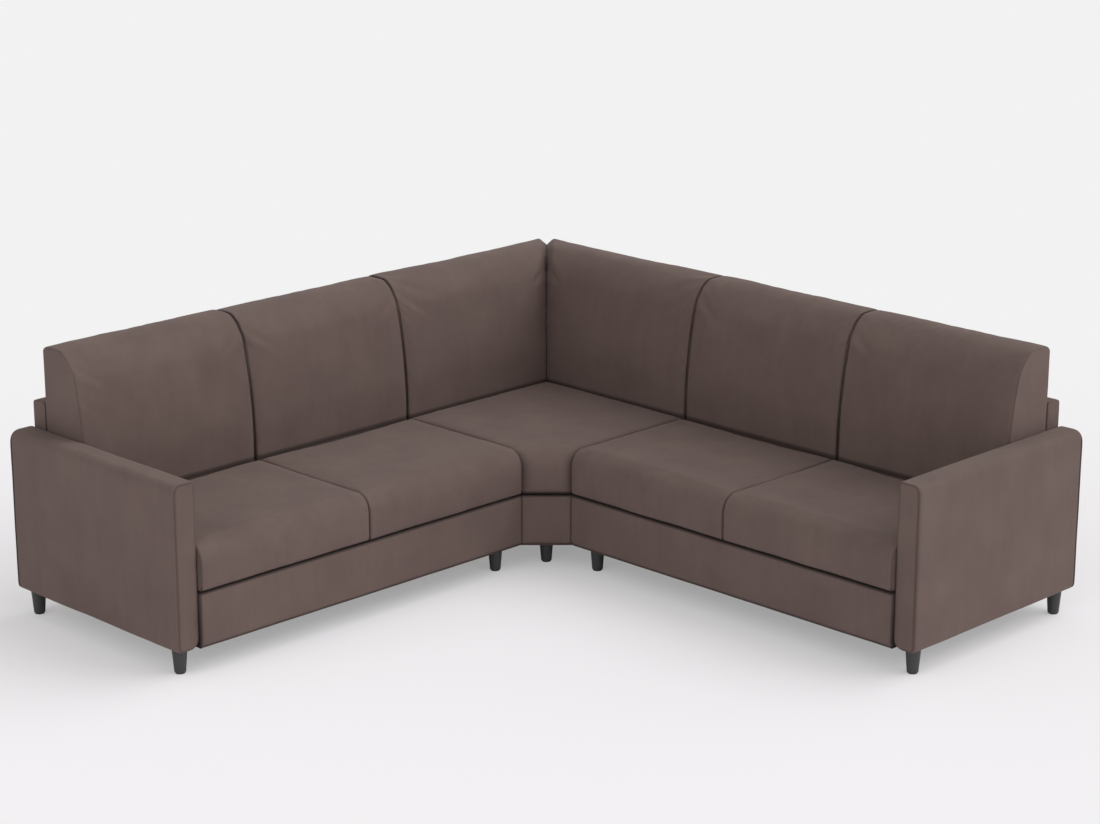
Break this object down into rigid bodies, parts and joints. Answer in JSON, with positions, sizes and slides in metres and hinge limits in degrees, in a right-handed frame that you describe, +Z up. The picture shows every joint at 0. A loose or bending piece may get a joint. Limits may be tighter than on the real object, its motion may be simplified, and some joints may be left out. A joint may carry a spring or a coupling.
{
  "type": "corner sofa",
  "caption": "Corner sofa with two straight wings, slim arms, wedge back cushions, a square corner seat with a cut front and short tapered legs.",
  "frame": {"origin": "centre of the sofa's square footprint, on the floor", "axes": "+Z up; the right wing runs along +X with its back at +Y, and the left wing runs along -Y with its back at -X, so the corner is at -X +Y and the open side faces +X -Y"},
  "size_m": [2.38, 2.38, 0.883],
  "materials": {
    "upholstery": "matte",
    "foam": "matte",
    "timber": "matte",
    "hardboard": "matte",
    "webbing": "matte",
    "deck_cloth": "matte",
    "dust_cloth": "matte",
    "leg_plastic": "matte",
    "glide_plastic": "satin",
    "zinc_steel": "satin"
  },
  "bodies": {
    "sofa_frame": {"arm_boards_left": "hardboard", "arm_boards_right": "hardboard", "arm_cover_left": "upholstery", "arm_cover_right": "upholstery", "arm_facing_left": "upholstery", "arm_facing_right": "upholstery", "arm_frame_left": "timber", "arm_frame_right": "timber", "base_band_corner": "upholstery", "base_band_left": "upholstery", "base_band_right": "upholstery", "base_frame_corner": "timber", "base_frame_left": "timber", "base_frame_right": "timber", "deck_cloth_corner": "deck_cloth", "deck_cloth_left": "deck_cloth", "deck_cloth_right": "deck_cloth", "dust_cloth_corner": "dust_cloth", "dust_cloth_left": "dust_cloth", "dust_cloth_right": "dust_cloth", "frame_bolts": "zinc_steel", "frame_inserts": "zinc_steel", "leg_glides": "glide_plastic", "leg_studs": "zinc_steel", "legs": "leg_plastic", "low_back_cover_corner_left": "upholstery", "low_back_cover_corner_right": "upholstery", "low_back_cover_left": "upholstery", "low_back_cover_right": "upholstery", "low_back_frame_corner": "timber", "low_back_frame_left": "timber", "low_back_frame_right": "timber", "seat_webbing_corner": "webbing", "seat_webbing_left": "webbing", "seat_webbing_right": "webbing", "tee_nuts": "zinc_steel"},
    "back_cushion_left_corner": {"back_cover_left_corner": "upholstery", "back_foam_left_corner": "foam"},
    "back_cushion_left_inner": {"back_cover_left_inner": "upholstery", "back_foam_left_inner": "foam"},
    "back_cushion_left_outer": {"back_cover_left_outer": "upholstery", "back_foam_left_outer": "foam"},
    "back_cushion_right_corner": {"back_cover_right_corner": "upholstery", "back_foam_right_corner": "foam"},
    "back_cushion_right_inner": {"back_cover_right_inner": "upholstery", "back_foam_right_inner": "foam"},
    "back_cushion_right_outer": {"back_cover_right_outer": "upholstery", "back_foam_right_outer": "foam"},
    "seat_cushion_corner": {"seat_cover_corner": "upholstery", "seat_foam_corner": "foam"},
    "seat_cushion_left_inner": {"seat_cover_left_inner": "upholstery", "seat_foam_left_inner": "foam"},
    "seat_cushion_left_outer": {"seat_cover_left_outer": "upholstery", "seat_foam_left_outer": "foam"},
    "seat_cushion_right_inner": {"seat_cover_right_inner": "upholstery", "seat_foam_right_inner": "foam"},
    "seat_cushion_right_outer": {"seat_cover_right_outer": "upholstery", "seat_foam_right_outer": "foam"}
  },
  "joints": [
    {"name": "back_cushion_left_corner_lift", "type": "slide", "parent": "sofa_frame", "child": "back_cushion_left_corner", "axis": [0, 0, 1], "range_m": [0, 0.48]},
    {"name": "back_cushion_left_inner_lift", "type": "slide", "parent": "sofa_frame", "child": "back_cushion_left_inner", "axis": [0, 0, 1], "range_m": [0, 0.48]},
    {"name": "back_cushion_left_outer_lift", "type": "slide", "parent": "sofa_frame", "child": "back_cushion_left_outer", "axis": [0, 0, 1], "range_m": [0, 0.48]},
    {"name": "back_cushion_right_corner_lift", "type": "slide", "parent": "sofa_frame", "child": "back_cushion_right_corner", "axis": [0, 0, 1], "range_m": [0, 0.48]},
    {"name": "back_cushion_right_inner_lift", "type": "slide", "parent": "sofa_frame", "child": "back_cushion_right_inner", "axis": [0, 0, 1], "range_m": [0, 0.48]},
    {"name": "back_cushion_right_outer_lift", "type": "slide", "parent": "sofa_frame", "child": "back_cushion_right_outer", "axis": [0, 0, 1], "range_m": [0, 0.48]},
    {"name": "seat_cushion_corner_lift", "type": "slide", "parent": "sofa_frame", "child": "seat_cushion_corner", "axis": [0, 0, 1], "range_m": [0, 0.4]},
    {"name": "seat_cushion_left_inner_lift", "type": "slide", "parent": "sofa_frame", "child": "seat_cushion_left_inner", "axis": [0, 0, 1], "range_m": [0, 0.4]},
    {"name": "seat_cushion_left_outer_lift", "type": "slide", "parent": "sofa_frame", "child": "seat_cushion_left_outer", "axis": [0, 0, 1], "range_m": [0, 0.4]},
    {"name": "seat_cushion_right_inner_lift", "type": "slide", "parent": "sofa_frame", "child": "seat_cushion_right_inner", "axis": [0, 0, 1], "range_m": [0, 0.4]},
    {"name": "seat_cushion_right_outer_lift", "type": "slide", "parent": "sofa_frame", "child": "seat_cushion_right_outer", "axis": [0, 0, 1], "range_m": [0, 0.4]}
  ]
}
